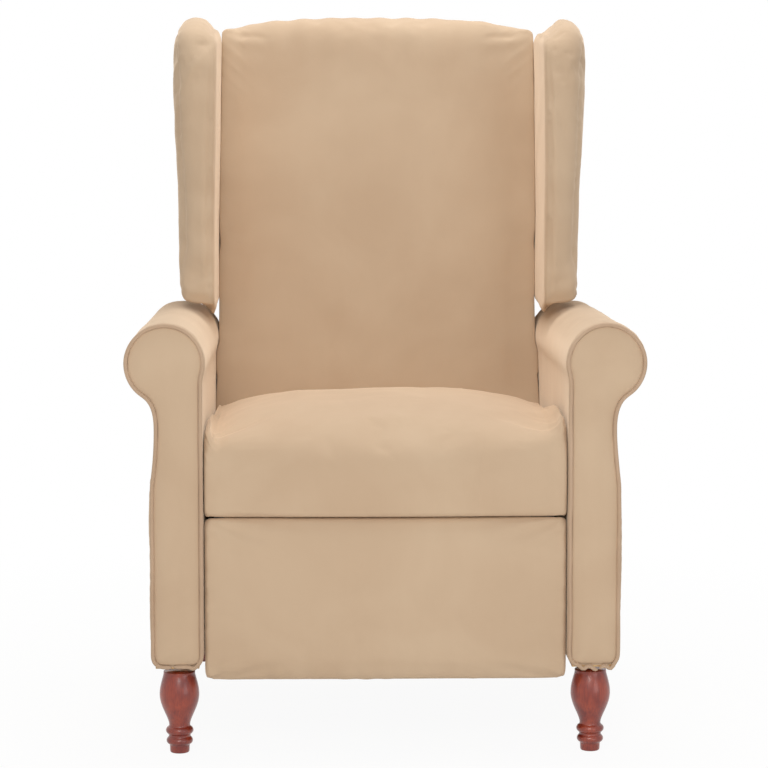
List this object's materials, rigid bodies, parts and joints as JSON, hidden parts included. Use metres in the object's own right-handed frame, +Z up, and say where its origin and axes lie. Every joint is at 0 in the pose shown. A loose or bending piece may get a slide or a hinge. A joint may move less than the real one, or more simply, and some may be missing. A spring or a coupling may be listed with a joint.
{
  "type": "wingback recliner",
  "caption": "Push-back wing recliner with rolled arms, a loose-look seat cushion, slim wings, a swing-out footrest and turned front legs.",
  "frame": {"origin": "on the floor, under the middle of the upright chair's box", "axes": "+Z up; the chair faces -Y; +X to the right as seen from the front, and node names use the same left and right"},
  "size_m": [0.7098, 0.8296, 1.0436],
  "materials": {
    "upholstery_fabric": "brushed microfibre, matt, beige",
    "piping_fabric": "brushed microfibre over cord, matt",
    "lacquered_wood": "red-brown gloss lacquer",
    "frame_wood": "sawn softwood",
    "plywood": "raw plywood",
    "fibreboard": "raw fibreboard",
    "black_steel": "satin black powder coat",
    "spring_steel": "oiled spring wire",
    "dust_cloth": "black non-woven cloth",
    "webbing": "elastic webbing"
  },
  "bodies": {
    "base": {"right_arm_cover": "upholstery_fabric", "left_arm_cover": "upholstery_fabric", "right_arm_front_panel": "upholstery_fabric", "left_arm_front_panel": "upholstery_fabric", "right_arm_piping": "piping_fabric", "left_arm_piping": "piping_fabric", "right_arm_side_board": "plywood", "left_arm_side_board": "plywood", "right_arm_roll_core": "fibreboard", "left_arm_roll_core": "fibreboard", "right_arm_bottom_board": "frame_wood", "left_arm_bottom_board": "frame_wood", "front_cross_rail": "frame_wood", "rear_apron": "upholstery_fabric", "right_front_leg": "lacquered_wood", "left_front_leg": "lacquered_wood", "right_rear_leg": "lacquered_wood", "left_rear_leg": "lacquered_wood", "right_base_plate": "black_steel", "left_base_plate": "black_steel"},
    "back": {"right_back_post": "frame_wood", "left_back_post": "frame_wood", "back_head_rail": "frame_wood", "back_lower_rail": "frame_wood", "back_web_1": "webbing", "back_web_2": "webbing", "back_web_3": "webbing", "back_cushion": "upholstery_fabric", "back_outer_panel": "upholstery_fabric", "right_wing": "upholstery_fabric", "left_wing": "upholstery_fabric", "right_wing_board": "plywood", "left_wing_board": "plywood", "right_back_bracket": "black_steel", "left_back_bracket": "black_steel"},
    "seat": {"right_seat_plate": "black_steel", "left_seat_plate": "black_steel", "right_seat_side_rail": "frame_wood", "left_seat_side_rail": "frame_wood", "seat_front_rail": "frame_wood", "seat_rear_rail": "frame_wood", "seat_dust_cloth": "dust_cloth", "seat_spring_1": "spring_steel", "seat_spring_2": "spring_steel", "seat_spring_3": "spring_steel", "seat_spring_4": "spring_steel", "seat_cushion": "upholstery_fabric"},
    "drive": {"torsion_shaft": "black_steel", "right_drive_link": "black_steel", "left_drive_link": "black_steel"},
    "main": {"right_main_link": "black_steel", "left_main_link": "black_steel"},
    "carrier": {"right_carrier_link": "black_steel", "left_carrier_link": "black_steel"},
    "tip": {"right_tip_link": "black_steel", "left_tip_link": "black_steel"},
    "footrest": {"right_footrest_bracket": "black_steel", "left_footrest_bracket": "black_steel", "footrest_board": "plywood", "footrest_pad": "upholstery_fabric"}
  },
  "joints": [
    {"name": "back_recline", "type": "hinge", "parent": "base", "child": "back", "pos_m": [0, 0.10141, 0.46091], "axis": [-1, 0, 0], "range_deg": [0, 30]},
    {"name": "seat_slide", "type": "slide", "parent": "base", "child": "seat", "axis": [0, -1, 0], "range_m": [0, 0.0623]},
    {"name": "footrest_drive", "type": "hinge", "parent": "seat", "child": "drive", "pos_m": [0, -0.23353, 0.234], "axis": [-1, 0, 0], "range_deg": [0, 115.2]},
    {"name": "main_link_pivot", "type": "hinge", "parent": "drive", "child": "main", "pos_m": [0, -0.17961, 0.157], "axis": [-1, 0, 0], "range_deg": [-110, 0]},
    {"name": "footrest_pivot", "type": "hinge", "parent": "main", "child": "footrest", "pos_m": [0, -0.35217, 0.29022], "axis": [-1, 0, 0], "range_deg": [0, 85.2]},
    {"name": "carrier_link_pivot", "type": "hinge", "parent": "seat", "child": "carrier", "pos_m": [0, -0.30553, 0.303], "axis": [-1, 0, 0], "range_deg": [0, 109]},
    {"name": "tip_link_pivot", "type": "hinge", "parent": "carrier", "child": "tip", "pos_m": [0, -0.227, 0.15903], "axis": [-1, 0, 0], "range_deg": [-87.1, 0]}
  ],
  "couplings": [
    {"joint": "seat_slide", "follows": "back_recline", "m_per_rad": 0.11863},
    {"joint": "footrest_drive", "follows": "back_recline", "ratio": 3.8333},
    {"joint": "main_link_pivot", "follows": "back_recline", "ratio": -3.659},
    {"joint": "footrest_pivot", "follows": "back_recline", "ratio": 2.8329},
    {"joint": "carrier_link_pivot", "follows": "back_recline", "ratio": 3.6224},
    {"joint": "tip_link_pivot", "follows": "back_recline", "ratio": -2.8956}
  ]
}
